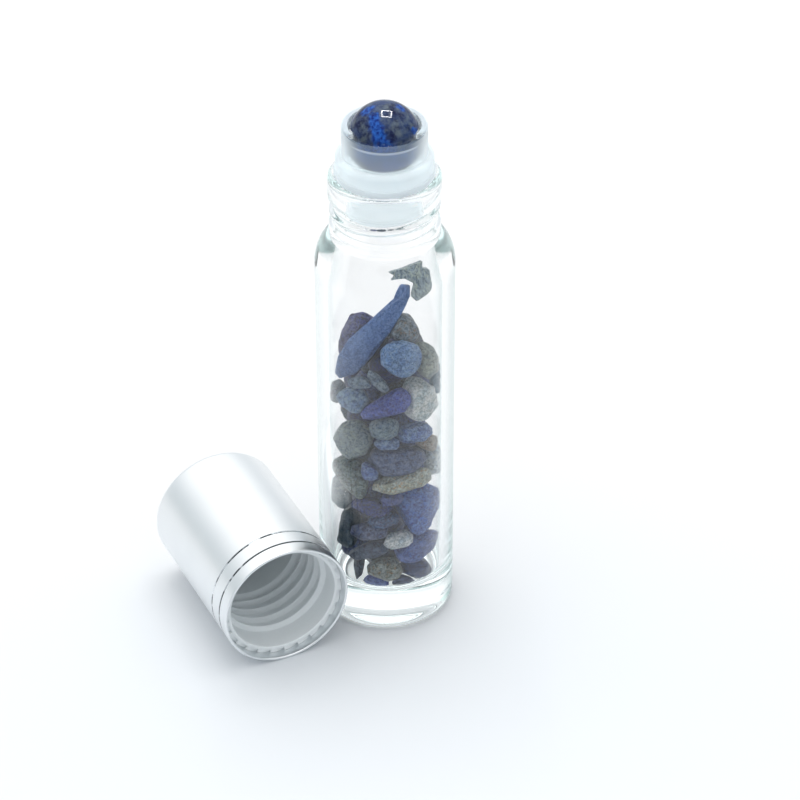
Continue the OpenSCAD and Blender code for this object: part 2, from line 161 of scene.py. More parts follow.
# How near a point of the liner has to be to count as on the axis, the rim, the notches or the bore
AXIS_MARGIN = 0.01
RIM_MARGIN = 0.05
NOTCH_MARGIN = 0.01
BORE_MARGIN = 0.02
LINER_THREAD_CLEAR = 2
CAP_TURN = -65
CAP_REACH = 8.6
CAP_GAP = 0.2
CAP_SIDE = BODY_R + CAP_GAP + CAP_R


def smooth_step(t):
    t = min(max(t, 0.0), 1.0)
    return t * t * (3 - 2 * t)


def oval(centre_r, centre_z, wide, tall, start, end, steps):
    """Points of an oval round in a turned outline, from one angle to another, in degrees."""
    angles = [math.radians(start + (end - start) * k / steps) for k in range(steps + 1)]
    return [(centre_r + wide * math.cos(a), centre_z + tall * math.sin(a)) for a in angles]


def arc(centre_r, centre_z, radius, start, end, steps):
    """Points of a circular round in a turned outline."""
    return oval(centre_r, centre_z, radius, radius, start, end, steps)


def run(start, end, steps):
    """Points along a straight stretch of a turned outline, without its last one."""
    return [(start[0] + (end[0] - start[0]) * k / steps, start[1] + (end[1] - start[1]) * k / steps)
            for k in range(steps)]


def turn(outline, steps, closed=False):
    """Turns an outline of (radius, height) points once round Z."""
    bm = bmesh.new()
    verts = [bm.verts.new((r, 0, z)) for r, z in outline]
    pairs = list(zip(verts, verts[1:]))
    if closed:
        pairs.append((verts[-1], verts[0]))
    edges = [bm.edges.new(pair) for pair in pairs]
    bmesh.ops.spin(bm, geom=verts + edges, axis=(0, 0, 1), cent=(0, 0, 0), angle=math.tau, steps=steps,
                   use_merge=True)
    bmesh.ops.remove_doubles(bm, verts=bm.verts, dist=MERGE_DIST)
    bmesh.ops.recalc_face_normals(bm, faces=bm.faces)
    return bm


def angle_of(vert):
    return math.degrees(math.atan2(vert.co.y, vert.co.x))


def screw_ridge(angle, z, ridge):
    """How far a helical ridge stands out of its wall at a place: every turn that passes there counts."""
    height = 0.0
    for whole in ridge["turns"]:
        along = angle + 360 * whole
        middle = ridge["zero_z"] + THREAD_PITCH * along / 360
        first_end = smooth_step((along - ridge["first"]) / ridge["first_fade"])
        last_end = smooth_step((ridge["last"] - along) / ridge["last_fade"])
        flank = smooth_step((ridge["half_w"] - abs(z - middle)) / (ridge["half_w"] * ridge["flank_share"]))
        height = max(height, first_end * last_end * flank * ridge["height"])
    return height


def piece(name, bm, body, material, nodes, place=None, sharp=35):
    """Makes a finished piece of a shape: in metres, in place, riding on its body."""
    if place is not None:
        bmesh.ops.transform(bm, matrix=place, verts=bm.verts)
    bmesh.ops.scale(bm, vec=(MM,) * 3, verts=bm.verts)
    mesh = bpy.data.meshes.new(name)
    bm.to_mesh(mesh)
    bm.free()
    mesh.shade_smooth()
    mesh.set_sharp_from_angle(angle=math.radians(sharp))
    mesh.materials.append(material)
    made = bpy.data.objects.new(name, mesh)
    bpy.context.scene.collection.objects.link(made)
    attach(made, body)
    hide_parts(*nodes)
    return made


# Materials

class Wire:
    """A value on its way through a material. Arithmetic on wires adds the nodes that it needs."""

    def __init__(self, board, socket):
        self.board = board
        self.socket = socket

    def __add__(self, other):
        return self.board.math("ADD", self, other)

    def __radd__(self, other):
        return self.board.math("ADD", other, self)

    def __sub__(self, other):
        return self.board.math("SUBTRACT", self, other)

    def __rsub__(self, other):
        return self.board.math("SUBTRACT", other, self)

    def __mul__(self, other):
        return self.board.math("MULTIPLY", self, other)

    def __rmul__(self, other):
        return self.board.math("MULTIPLY", other, self)

    def __abs__(self):
        return self.board.math("ABSOLUTE", self)


class Board:
    """The nodes of one material or of the world."""

    def __init__(self, tree):
        self.tree = tree
        tree.nodes.clear()

    def plug(self, socket, value):
        if isinstance(value, Wire):
            self.tree.links.new(value.socket, socket)
        elif socket.type == "RGBA" and len(value) == 3:
            socket.default_value = (*value, 1.0)
        else:
            socket.default_value = value

    def node(self, kind, settings=None, sockets=None, out=0):
        made = self.tree.nodes.new(kind)
        for name, value in (settings or {}).items():
            setattr(made, name, value)
        for name, value in (sockets or {}).items():
            self.plug(made.inputs[name], value)
        return Wire(self, made.outputs[out]) if made.outputs else None

    def math(self, operation, first, second=0.0):
        return self.node("ShaderNodeMath", {"operation": operation}, {0: first, 1: second})

    def vector(self, operation, sockets, out=0):
        return self.node("ShaderNodeVectorMath", {"operation": operation}, sockets, out)

    def place(self):
        """The place on the piece, in millimetres."""
        raw = self.node("ShaderNodeTexCoord", out="Object")
        return self.vector("SCALE", {0: raw, "Scale": 1 / MM})

    def along(self, axis, vector):
        return self.node("ShaderNodeSeparateXYZ", None, {0: vector}, out=axis)

    def slant(self):
        """0 where the surface is seen face on, 1 where it is seen edgeways."""
        return self.node("ShaderNodeLayerWeight", None, {"Blend": 0.5}, out="Facing")

    def mix(self, amount, first, second):
        return self.node("ShaderNodeMix", {"data_type": "RGBA"}, {0: amount, 6: first, 7: second}, out=2)

    def mottle(self, place, size, detail=4.0, roughness=0.55, distortion=0.0):
        """Soft noise with features of about the given size in millimetres."""
        return self.node("ShaderNodeTexNoise", {"noise_dimensions": "3D"},
                         {"Vector": place, "Scale": 1 / size, "Detail": detail, "Roughness": roughness,
                          "Distortion": distortion})

    def bend(self, place, scale, detail, sway):
        """The place pushed about by soft noise, by up to sway millimetres along each axis."""
        stray = self.node("ShaderNodeTexNoise", {"noise_dimensions": "3D"},
                          {"Vector": place, "Scale": scale, "Detail": detail}, out="Color")
        return self.vector("MULTIPLY_ADD", {0: stray, 1: (sway,) * 3, 2: place})

    def crystals(self, place, size, sway):
        """Angular grains of about the given size, each with a chance value from 0 to 1."""
        bent = self.bend(place, 2 / size, 2.0, sway)
        cells = self.node("ShaderNodeTexVoronoi", {"voronoi_dimensions": "3D"},
                          {"Vector": bent, "Scale": 1 / size}, out="Color")
        return self.node("ShaderNodeSeparateColor", None, {0: cells}, out="Red")

    def between(self, value, low, high):
        """0 below low, 1 above high and a smooth rise between them."""
        return self.node("ShaderNodeMapRange", {"interpolation_type": "SMOOTHSTEP"},
                         {0: value, 1: low, 2: high, 3: 0.0, 4: 1.0})

    def band(self, value, rise, fall):
        """1 from the end of the rise to the start of the fall and 0 outside them."""
        return self.between(value, *rise) * (1 - self.between(value, *fall))

    def bump(self, height, strength, depth):
        return self.node("ShaderNodeBump", None,
                         {"Strength": strength, "Distance": depth * MM, "Height": height})

    def shader(self, **values):
        return self.node("ShaderNodeBsdfPrincipled", None,
                         {name.replace("_", " "): value for name, value in values.items()})

    def finish(self, surface, **others):
        self.node("ShaderNodeOutputMaterial", None, {"Surface": surface, **others})


def new_material(name):
    material = bpy.data.materials.new(name)
    material.use_nodes = True
    return material, Board(material.node_tree)


def tone(*screen):
    """A colour given as red, green and blue as they look on screen, from 0 to 255."""
    return tuple((c / 255 / 12.92) if c < 10.3 else ((c / 255 + 0.055) / 1.055) ** 2.4 for c in screen)


# Glass: the tint of its edges at the left and at the right of the bottle, the right one darker as painted
# shade, and the tint of its body
EDGE_SIDES = (-4.0, 4.0)
EDGE_LEFT = (0.70, 0.80, 0.81)
EDGE_RIGHT_PAINTED_SHADE = (0.42, 0.54, 0.54)
EDGE_END = (BODY_H - 1, BODY_H + 2)
GLASS_BODY = (0.70, 0.83, 0.81)
GLASS_DENSITY = 14.0


def clear_glass():
    """Soda glass: clear face on, with a grey-green tint where its wall is looked through edgeways; the tint
    at the bottle's right edge is darker, as painted shade.
    """
    material, board = new_material("clear_glass")
    place = board.place()
    edge = board.between(board.slant(), 0.5, 0.85) * (1 - board.between(board.along("Z", place), *EDGE_END))
    # The right edge's tint is darker than the left's: painted shade on that side of the bottle
    tint = board.mix(board.between(board.along("X", place), *EDGE_SIDES), EDGE_LEFT, EDGE_RIGHT_PAINTED_SHADE)
    glass = board.shader(Base_Color=board.mix(edge, (1, 1, 1), tint), Roughness=0.0, IOR=1.5,
                         Transmission_Weight=1.0)
    body = board.node("ShaderNodeVolumeAbsorption", None, {"Color": GLASS_BODY, "Density": GLASS_DENSITY})
    board.finish(glass, Volume=body)
    return material


# Housing: where its clear, milky and white parts change over, some as depths below its lip, and where its
# painted glow ends, its painted highlight line lies and its painted image of the ball fades
LIP_FRONT = (1.5, 3.5)
LIP_CLEAR = (HOUSING_LIP_Z - 0.12, HOUSING_LIP_Z - 0.02)
SOCKET_CLEAR = (SOCKET_R + 0.02, SOCKET_R + 0.12)
POCKET_CLEAR = (POCKET_FLOOR_Z - 0.1, POCKET_FLOOR_Z)
STEP_WHITE = (STEP_Z - 0.3, STEP_Z + 0.6)
# The white plastic's painted glow, light it gives off though it is no lamp, is bright on the plug below the
# mouth and faint above it
PLUG_PAINTED_GLOW_END = (MOUTH_Z - 0.5, MOUTH_Z + 0.5)
# Painted highlight: a thin bright line just below the lip. Painted reflection: a dark band below it that
# fades lighter downwards, for the ball seen through the clear ring
HIGHLIGHT_LINE_RISE = (0.95, 1.05)
HIGHLIGHT_LINE_FALL = (1.2, 1.45)
PAINTED_BALL_BAND_END = (0.85, 1.0)
PAINTED_BALL_FADE = (1.3, 4.2)


def milky_plastic():
    """Clear on the lip's front and in the socket, milky on the collar, white edgeways and below it. The white
    plastic glows with painted light, brightest on the plug; below the lip a painted dark band stands for the
    ball seen through the clear ring, with a painted highlight line.
    """
    material, board = new_material("milky_plastic")
    place = board.place()
    height = board.along("Z", place)
    radius = board.vector("LENGTH", {0: board.vector("MULTIPLY", {0: place, 1: (1, 1, 0)})}, out="Value")
    front = board.between(0.0 - board.along("Y", place), *LIP_FRONT)
    lip = front * board.between(height, *LIP_CLEAR)
    socket = (1 - board.between(radius, *SOCKET_CLEAR)) * board.between(height, *POCKET_CLEAR)
    cloud = board.mottle(place, 1.6, detail=2.0)
    clear = board.shader(Base_Color=(1, 1, 1), Roughness=0.04, IOR=1.12, Transmission_Weight=1.0)

    tint = board.mix(cloud, (0.84, 0.93, 0.97), (0.90, 0.96, 0.98))
    # Painted glow: the white plastic emits light, bright on the plug inside the neck and faint above the
    # mouth
    painted_glow = board.mix(board.between(height, *PLUG_PAINTED_GLOW_END), (0.98, 1.0, 1.0), (0.22, 0.22, 0.22))
    glowing_white = board.shader(Base_Color=tint, Roughness=0.30 + 0.06 * cloud, IOR=1.3, Transmission_Weight=0.3,
                         Emission_Color=painted_glow, Emission_Strength=0.26)

    depth = HOUSING_LIP_Z - height
    # Painted reflection: the ball's image through the clear ring, a dark blue band just below the lip fading
    # lighter further down
    painted_ball_image = board.mix(board.between(depth, *PAINTED_BALL_FADE), (0.84, 0.97, 1.0), (0.95, 1.0, 1.0))
    painted_ball_image = board.mix(board.between(depth, *PAINTED_BALL_BAND_END), (0.50, 0.62, 0.76), painted_ball_image)
    milky = board.shader(Base_Color=painted_ball_image, Roughness=0.20 + 0.06 * cloud, IOR=1.3,
                         Transmission_Weight=0.72)

    edge = board.math("MAXIMUM", board.between(board.slant(), 0.18, 0.70),
                      0.8 * (1 - board.between(height, *STEP_WHITE)))
    # Painted highlight: a thin line of the white, glowing plastic just below the lip
    edge = board.math("MAXIMUM", edge, 0.6 * board.band(depth, HIGHLIGHT_LINE_RISE, HIGHLIGHT_LINE_FALL))
    walls = board.node("ShaderNodeMixShader", None, {0: edge, 1: milky, 2: glowing_white})
    polished = board.math("MAXIMUM", lip, socket)
    both = board.node("ShaderNodeMixShader", None, {0: polished, 1: walls, 2: clear})
    board.finish(both)
    return material


# The polished stone reflects little of the tent; its bright square is a ring of lamps lit for the ball alone
BALL_IOR = 1.22
# Blue lakes in the ball's rock: the place of each, then its reach
BALL_LAKES = (
    (-2.3, -0.5, 84.3, 1.2), (-1.5, -2.4, 84.0, 1.1), (-1.1, -3.6, 83.2, 1.2), (-0.7, -4.3, 82.2, 1.3),
    (-0.2, -4.9, 80.4, 2.1), (0.2, -4.6, 78.2, 2.8), (2.3, 0.0, 84.4, 0.9), (4.2, -1.9, 81.8, 0.8),
    (-2.9, -4.0, 79.2, 1.9), (2.7, -4.1, 79.0, 1.9),
    (2.8, 3.0, 81.0, 2.0), (-3.0, 3.2, 80.0, 1.8), (-4.3, 0.4, 79.4, 1.5), (3.2, -3.2, 78.6, 1.6))
LAKE_SWAY = 1.6
LAKE_SWAY_SCALE = 0.7
LAKE_EDGE_SHARES = (0.5, 1.1)


def ball_stone():
    """Polished blue stone: bright lakes in cloudy navy and olive-grey rock under a clear gloss."""
    material, board = new_material("ball_stone")
    place = board.place()
    bent = board.bend(place, LAKE_SWAY_SCALE, 4.0, LAKE_SWAY)
    lakes = 0.0
    for x, y, z, reach in BALL_LAKES:
        middle = tuple(c + LAKE_SWAY / 2 for c in (x, y, z))
        away = board.vector("DISTANCE", {0: bent, 1: middle}, out="Value")
        lakes = lakes + (1 - board.between(away, *(reach * share for share in LAKE_EDGE_SHARES)))
    broad = board.mottle(place, 2.0, detail=3.0, roughness=0.5, distortion=0.3)
    cloudy = board.mottle(place, 1.4, detail=5.0, roughness=0.65)
    fine = board.mottle(place, 0.5, detail=4.0, roughness=0.6)
    rock = board.mix(board.between(broad, 0.36, 0.64), tone(14, 24, 62), tone(48, 64, 102))
    rock = board.mix(0.8 * board.between(cloudy, 0.42, 0.74), rock, tone(106, 118, 124))
    rock = board.mix(0.4 * board.between(fine, 0.48, 0.68), rock, tone(88, 102, 128))
    blue = board.mix(board.between(fine, 0.30, 0.68), tone(0, 22, 98), tone(44, 98, 184))
    board.finish(board.shader(Base_Color=board.mix(lakes, rock, blue), Roughness=0.0, IOR=BALL_IOR))
    return material


# How a chip's stone varies round its main tone, as differences on screen: its second tone, flecks and pits.
# Patch is the size of its patches in millimetres, depth the strength of its grain, and the shares and veins
# say how much shows of a feature.
USUAL = {"patch": 1.2, "fleck_share": 0.45, "pit_share": 0.6, "veins": 0.35, "roughness": 0.42, "depth": 1.0}
PATTERNS = {
    "plain": {"second": (-16, -15, -12), "fleck": (30, 28, 24), "pit": (-30, -30, -28), "depth": 0.6},
    "mottled": {"second": (-26, -24, -18), "fleck": (46, 42, 34), "pit": (-42, -42, -38), "patch": 0.8},
    "speckled": {"second": (18, 16, 6), "fleck": (62, 60, 44), "pit": (-40, -40, -34), "patch": 0.6,
                 "fleck_share": 0.75, "veins": 0.6},
    "veined": {"second": (-14, -12, -8), "fleck": (58, 56, 44), "pit": (-30, -30, -26), "veins": 0.8},
    "rusty": {"second": (-20, -24, -30), "fleck": (52, 48, 42), "pit": (-4, -36, -62), "patch": 0.9,
              "pit_share": 0.8},
    "glossy": {"second": (-18, -16, -14), "fleck": (24, 24, 24), "pit": (-16, -16, -16), "patch": 1.8,
               "fleck_share": 0.2, "roughness": 0.2, "depth": 0.7},
    "pale": {"second": (-34, -30, -24), "fleck": (34, 32, 28), "pit": (-52, -50, -44), "patch": 1.4}}
GRAIN_SIZE = 0.34
SPARK_SIZE = 0.2
DARK_GRAIN = -38
PALE_GRAIN = 34
# Paler edges: partly wear, partly painted highlight. Darker hollows: painted shade
WORN_EDGE_AND_HIGHLIGHT = (40, 38, 34)
HOLLOW_PAINTED_SHADE = (-40, -40, -36)
# What the glass in front of a stone does to its tone
HAZE = 0.026
STONE_LIGHT = 0.95
RICHNESS = 1.75


def behind_glass(main, change):
    """The colour of a stone that shows a changed main tone through the lit glass, which greys it."""
    seen = tone(*(min(max(c + d, 4), 250) for c, d in zip(main, change)))
    clean = [max(c - HAZE, 0.006) / STONE_LIGHT for c in seen]
    grey = sum(clean) / 3
    return tuple(min(max(grey + (c - grey) * RICHNESS, 0.004), 0.95) for c in clean)


def stone(name, main, pattern):
    """A tumbled stone: two tones in patches, crisp grain, flecks, pits, thin veins and an uneven sheen, with
    pale edges that are partly wear and partly painted highlight, and hollows darkened with painted shade.
    """
    look = {**USUAL, **PATTERNS[pattern]}
    material, board = new_material(name)
    place = board.place()
    patches = board.mottle(place, look["patch"], detail=6.0, roughness=0.6)
    grain = board.mottle(place, GRAIN_SIZE, detail=5.0, roughness=0.75)
    crystals = board.crystals(place, GRAIN_SIZE, 0.2)
    sparks = board.crystals(place, SPARK_SIZE, 0.15)
    flecks = board.mottle(place, 0.6, detail=5.0, roughness=0.75)
    pits = board.mottle(place, 0.45, detail=4.0, roughness=0.7)
    cracks = abs(board.mottle(place, 1.6, detail=5.0, roughness=0.6, distortion=1.0) - 0.5)
    edge_pointiness = board.node("ShaderNodeNewGeometry", out="Pointiness")

    split = board.between(patches, 0.42, 0.58)
    shine = 0.25 * crystals + 0.25 * sparks + 0.5 * board.between(grain, 0.38, 0.62)
    grains = []
    for step in (DARK_GRAIN * look["depth"], PALE_GRAIN * look["depth"]):
        second = [c + step for c in look["second"]]
        grains.append(board.mix(split, behind_glass(main, (step,) * 3), behind_glass(main, second)))
    colour = board.mix(board.between(shine, 0.2, 0.8), *grains)
    # Pointiness lightens edges, partly wear and partly painted highlight, and darkens hollows with painted
    # shade
    for amount, change in (
            (0.45 * board.between(edge_pointiness, 0.51, 0.56), WORN_EDGE_AND_HIGHLIGHT),
            (0.6 * (1 - board.between(edge_pointiness, 0.44, 0.495)), HOLLOW_PAINTED_SHADE),
            (look["pit_share"] * board.between(pits, 0.57, 0.64), look["pit"]),
            (look["fleck_share"] * board.between(flecks, 0.55, 0.61), look["fleck"]),
            (look["veins"] * (1 - board.between(cracks, 0.006, 0.022)), look["fleck"])):
        colour = board.mix(amount, colour, behind_glass(main, change))

    relief = 0.4 * patches + 0.4 * grain + 0.2 * crystals
    board.finish(board.shader(Base_Color=colour, Roughness=(look["roughness"] - 0.1) + 0.2 * patches, IOR=1.5,
                              Normal=board.bump(relief, 0.7, 0.2)))
    return material


def satin_aluminium(place_of_cap):
    """Anodised aluminium; in its two turned grooves smoother bare metal mirrors bright, and broken lines of
    dark colour are a painted dark reflection.
    """
    material, board = new_material("satin_aluminium")
    place = board.place()
    grain = board.mottle(place, 0.07, detail=3.0, roughness=0.7)
    haze = board.mottle(place, 6.0, detail=2.0)
    painted_dark_dashes = board.between(board.mottle(place, 4.5, detail=3.0, roughness=0.7), 0.38, 0.46)
    upright = place_of_cap.inverted()[2]
    up = board.vector("DOT_PRODUCT", {0: place, 1: upright[:3]}, out="Value") + upright[3]
    edge = [GROOVE_HALF_W * share for share in GROOVE_EDGE_SHARES]
    cut = 0.0
    for groove_z in GROOVES:
        cut = cut + (1 - board.between(abs(up - groove_z), *edge))
    satin = board.mix(haze, (0.79, 0.815, 0.83), (0.85, 0.87, 0.88))
    # The near-black colour in the grooves' broken lines is a painted reflection; bare aluminium itself is
    # bright
    board.finish(board.shader(
        Base_Color=board.mix(cut * painted_dark_dashes, satin, (0.10, 0.11, 0.12)), Metallic=1.0,
        Roughness=0.30 + 0.08 * grain - 0.2 * cut, Normal=board.bump(grain, 0.10, 0.01)))
    return material


def white_plastic():
    material, board = new_material("white_plastic")
    grain = board.mottle(board.place(), 0.3, detail=3.0)
    board.finish(board.shader(
        Base_Color=board.mix(grain, (0.755, 0.785, 0.795), (0.795, 0.825, 0.835)),
        Roughness=0.42 + 0.1 * grain, IOR=1.46, Normal=board.bump(grain, 0.06, 0.03)))
    return material


# The main tone and the pattern of each chip
CHIP_LOOKS = {
    "chip_tail_shard": ((147, 155, 159), "veined"),
    "chip_dark_splinter": ((66, 74, 84), "plain"),
    "chip_base_beige": ((130, 136, 136), "rusty"),
    "chip_base_blue": ((56, 66, 94), "plain"),
    "chip_base_grey": ((68, 76, 98), "plain"),
    "chip_base_sliver": ((84, 96, 142), "speckled"),
    "chip_indigo_low": ((86, 98, 136), "mottled"),
    "chip_pale_bright": ((214, 218, 218), "pale"),
    "chip_grey_bar": ((78, 86, 100), "plain"),
    "chip_purple_grey": ((92, 98, 118), "mottled"),
    "chip_dark_left": ((90, 99, 106), "plain"),
    "chip_blue_oval": ((68, 82, 106), "glossy"),
    "chip_gloss_blue": ((54, 60, 100), "glossy"),
    "chip_gloss_small": ((66, 72, 108), "glossy"),
    "chip_blue_triangle": ((72, 90, 140), "speckled"),
    "chip_olive_tall": ((94, 104, 104), "mottled"),
    "chip_grey_left": ((112, 122, 128), "plain"),
    "chip_beige_slab": ((168, 172, 168), "rusty"),
    "chip_purple_block": ((91, 99, 120), "mottled"),
    "chip_light_corner": ((88, 102, 140), "speckled"),
    "chip_beige_right": ((208, 214, 216), "pale"),
    "chip_amber": ((128, 124, 120), "rusty"),
    "chip_grey_lump": ((114, 122, 126), "veined"),
    "chip_blue_middle": ((94, 110, 146), "speckled"),
    "chip_grey_middle": ((123, 134, 141), "mottled"),
    "chip_blue_small": ((96, 110, 140), "speckled"),
    "chip_pale_teardrop": ((216, 220, 216), "pale"),
    "chip_indigo_wedge": ((68, 76, 130), "speckled"),
    "chip_blue_round": ((99, 115, 141), "speckled"),
    "chip_small_left": ((110, 119, 126), "mottled"),
    "chip_pale_oval": ((116, 127, 138), "mottled"),
    "chip_pale_finger": ((122, 130, 138), "pale"),
    "chip_speckled_round": ((118, 136, 164), "veined"),
    "chip_teal_edge": ((104, 122, 134), "plain"),
    "chip_beige_upper": ((146, 150, 144), "pale"),
    "chip_beige_behind": ((113, 121, 129), "rusty"),
    "chip_purple_top": ((65, 67, 101), "veined"),
    "chip_slate_blade": ((112, 128, 160), "plain")}
BACK_LOOKS = (
    ((70, 82, 124), "plain"), ((128, 134, 132), "rusty"), ((92, 103, 114), "mottled"),
    ((80, 88, 114), "veined"), ((86, 102, 138), "speckled"))
# Darker looks for chips deep in the heap, seen in the gaps between the others: painted shade in the gaps
SHADED_DEEP_LOOKS = (((36, 50, 84), "plain"), ((60, 68, 78), "mottled"), ((50, 60, 100), "speckled"))
DEEP_R = 4.6
DEEP_Y = 4.0


# Bottle

def neck_radius(z):
    root = (ROOT_R - NECK_R) * (1 - smooth_step((z - ROOT_TOP_Z) / ROOT_FADE))
    ring = (FINISH_R - NECK_R) * smooth_step((z - FINISH_Z + FINISH_FADE) / FINISH_FADE)
    return NECK_R + root + ring


def build_bottle():
    foot = [(FOOT_IN_R * k / FOOT_STEPS, PUSH_UP * (1 - (k / FOOT_STEPS) ** PUSH_UP_POWER))
            for k in range(FOOT_STEPS)]
    neck_h = FINISH_Z - ROOT_TOP_Z
    neck = [ROOT_TOP_Z + neck_h * k / NECK_STEPS for k in range(NECK_STEPS + 1)]
    shoulder_end = math.degrees(math.asin((ROOT_Z - BODY_H) / SHOULDER_R))
    inner_wide = (INNER_R - BORE_R) / (1 - math.cos(math.radians(THROAT_ANGLE)))
    inner_tall = (THROAT_Z - INNER_SHOULDER_Z) / math.sin(math.radians(THROAT_ANGLE))
    outline = (
        foot + [(FOOT_IN_R + FOOT_EDGE, 0.0)]
        + arc(BODY_R - HEEL_R, HEEL_R, HEEL_R, -90, 0, 12)
        + run((BODY_R, HEEL_R + WALL_CLEAR), (BODY_R, BODY_H), 8)
        + arc(SHOULDER_CENTRE_R, BODY_H, SHOULDER_R, 0, shoulder_end, 22)
        + [(neck_radius(z), z) for z in neck]
        + run((FINISH_R, FINISH_Z + FINISH_CLEAR), (FINISH_R, MOUTH_Z - LIP_R), 3)
        + arc(FINISH_R - LIP_R, MOUTH_Z - LIP_R, LIP_R, 0, 90, 10)
        + arc(BORE_R + LIP_R / 2, MOUTH_Z - LIP_R / 2, LIP_R / 2, 90, 180, 6)
        + oval(INNER_R - inner_wide, INNER_SHOULDER_Z, inner_wide, inner_tall, THROAT_ANGLE, 0, 22)
        + run((INNER_R, INNER_SHOULDER_Z - INNER_CLEAR), (INNER_R, FLOOR_Z + FLOOR_CORNER_R + WALL_CLEAR), 6)
        + arc(INNER_R - FLOOR_CORNER_R, FLOOR_Z + FLOOR_CORNER_R, FLOOR_CORNER_R, 0, -90, 12)
        + [(INNER_R * FLOOR_RING_SHARE, FLOOR_Z), (0, FLOOR_Z)])
    bm = turn(outline, 192)
    for vert in bm.verts:
        z = vert.co.z
        on_neck = ROOT_TOP_Z - NECK_MARGIN < z < FINISH_Z + NECK_MARGIN
        if on_neck and vert.co.xy.length > BORE_R + NECK_WALL:
            threaded = NECK_R + screw_ridge(angle_of(vert), z, NECK_THREAD)
            radius = min(max(neck_radius(z), threaded), ROOT_R + NECK_MARGIN)
            vert.co.x, vert.co.y = vert.co.xy.normalized() * radius
    piece("bottle_glass", bm, "bottle", clear_glass(), ["glass_bottle"])


# Roller

def plug_rib(z):
    return [(PLUG_R, z - PLUG_RIB_FOOT), (PLUG_RIB_R, z - PLUG_RIB_CREST), (PLUG_RIB_R, z + PLUG_RIB_CREST),
            (PLUG_R, z + PLUG_RIB_FOOT)]


def build_roller():
    socket_top = math.degrees(math.asin((HOUSING_LIP_Z - BALL_Z) / SOCKET_R))
    lip_in_r = SOCKET_R * math.cos(math.radians(socket_top))
    flange_edge_r = FLANGE_R - FLANGE_EDGE_R
    plug_z = MOUTH_Z - PLUG_H
    taper = PLUG_R - PLUG_BORE_R
    low_rib_z, high_rib_z = (MOUTH_Z - PLUG_H * share for share in PLUG_RIB_SHARES)
    pocket_wall_z = POCKET_FLOOR_Z + POCKET_CHAMFER
    outline = (
        [(PLUG_BORE_R, plug_z), (PLUG_BORE_R + taper / 2, plug_z), (PLUG_R, plug_z + taper)]
        + plug_rib(low_rib_z) + plug_rib(high_rib_z)
        + [(PLUG_R, MOUTH_Z + FLANGE_LIFT), (flange_edge_r, MOUTH_Z + FLANGE_LIFT)]
        + arc(flange_edge_r, MOUTH_Z + FLANGE_EDGE_R, FLANGE_EDGE_R, -90, 0, 3)
        + arc(flange_edge_r, FLANGE_Z - FLANGE_EDGE_R, FLANGE_EDGE_R, 0, 90, 3)
        + [(STEP_R, FLANGE_Z + STEP_FOOT)]
        + arc(STEP_R - STEP_EDGE_R, STEP_Z - STEP_EDGE_R, STEP_EDGE_R, 0, STEP_EDGE_ANGLE, 10)
        + [(COLLAR_R + COLLAR_FILLET_R, STEP_Z + COLLAR_FILLET_R), (COLLAR_R, STEP_Z + COLLAR_FILLET_H)]
        + run((COLLAR_R, STEP_Z + COLLAR_CLEAR), (COLLAR_R, HOUSING_LIP_Z - COLLAR_CLEAR), 3)
        + arc(COLLAR_R - LIP_EDGE_R, HOUSING_LIP_Z - LIP_EDGE_R, LIP_EDGE_R, 0, 90, 8)
        + [(lip_in_r + FLANGE_EDGE_R, HOUSING_LIP_Z)]
        + arc(0, BALL_Z, SOCKET_R, socket_top - SOCKET_EDGE_ANGLE, 0, 14)
        + run((SOCKET_R, BALL_Z - COLLAR_CLEAR), (SOCKET_R, pocket_wall_z), 4)
        + [(SOCKET_R, pocket_wall_z), (SOCKET_R - POCKET_CHAMFER, POCKET_FLOOR_Z), (FEED_R, POCKET_FLOOR_Z)]
        + [(FEED_R, WEB_LOW_Z), (PLUG_BORE_R - taper, WEB_LOW_Z), (PLUG_BORE_R, WEB_LOW_Z - taper)])
    bm = turn(outline, 160, closed=True)
    piece("housing_moulded", bm, "bottle", milky_plastic(), ["roller_housing"])

    bm = bmesh.new()
    bmesh.ops.create_icosphere(bm, subdivisions=6, radius=BALL_R)
    return piece("ball_polished", bm, "ball", ball_stone(), ["roller_ball"],
                 place=Matrix.Translation((0, 0, BALL_Z)), sharp=180)


# Cap

def groove(up):
    return [(CAP_R, up + GROOVE_HALF_W), (CAP_R - GROOVE_D, up + GROOVE_HALF_W / 2),
            (CAP_R - GROOVE_D, up - GROOVE_HALF_W / 2), (CAP_R, up - GROOVE_HALF_W)]


def notch_depth(share):
    """Depth of the rim's notch at a share of its step: a steep side, then a long slope to nothing."""
    return NOTCH_D * (1 - share / NOTCH_SHARE) if NOTCH_STEEP_SHARE < share < NOTCH_SHARE else 0.0


def shape_liner(bm):
    """Cuts the notches into the turned liner's rim and raises the thread rib in its bore."""
    columns = len(NOTCH_COLUMN_SHARES)
    for vert in bm.verts:
        radius, z = vert.co.xy.length, vert.co.z
        if radius < AXIS_MARGIN:
            continue
        column = round(angle_of(vert) * NOTCHES * columns / 360)
        share = NOTCH_COLUMN_SHARES[column % columns]
        angle = math.radians((column // columns + share) * 360 / NOTCHES)
        if z < LINER_RIM_Z + RIM_MARGIN and radius > NOTCH_IN_R + NOTCH_MARGIN:
            vert.co.z += notch_depth(share)
        threaded = LINER_RIM_Z + LINER_THREAD_CLEAR < z < LINER_STEP_Z
        if threaded and abs(radius - LINER_BORE_R) < BORE_MARGIN:
            radius -= screw_ridge(math.degrees(angle), z, LINER_THREAD)
        vert.co.x, vert.co.y = radius * math.cos(angle), radius * math.sin(angle)


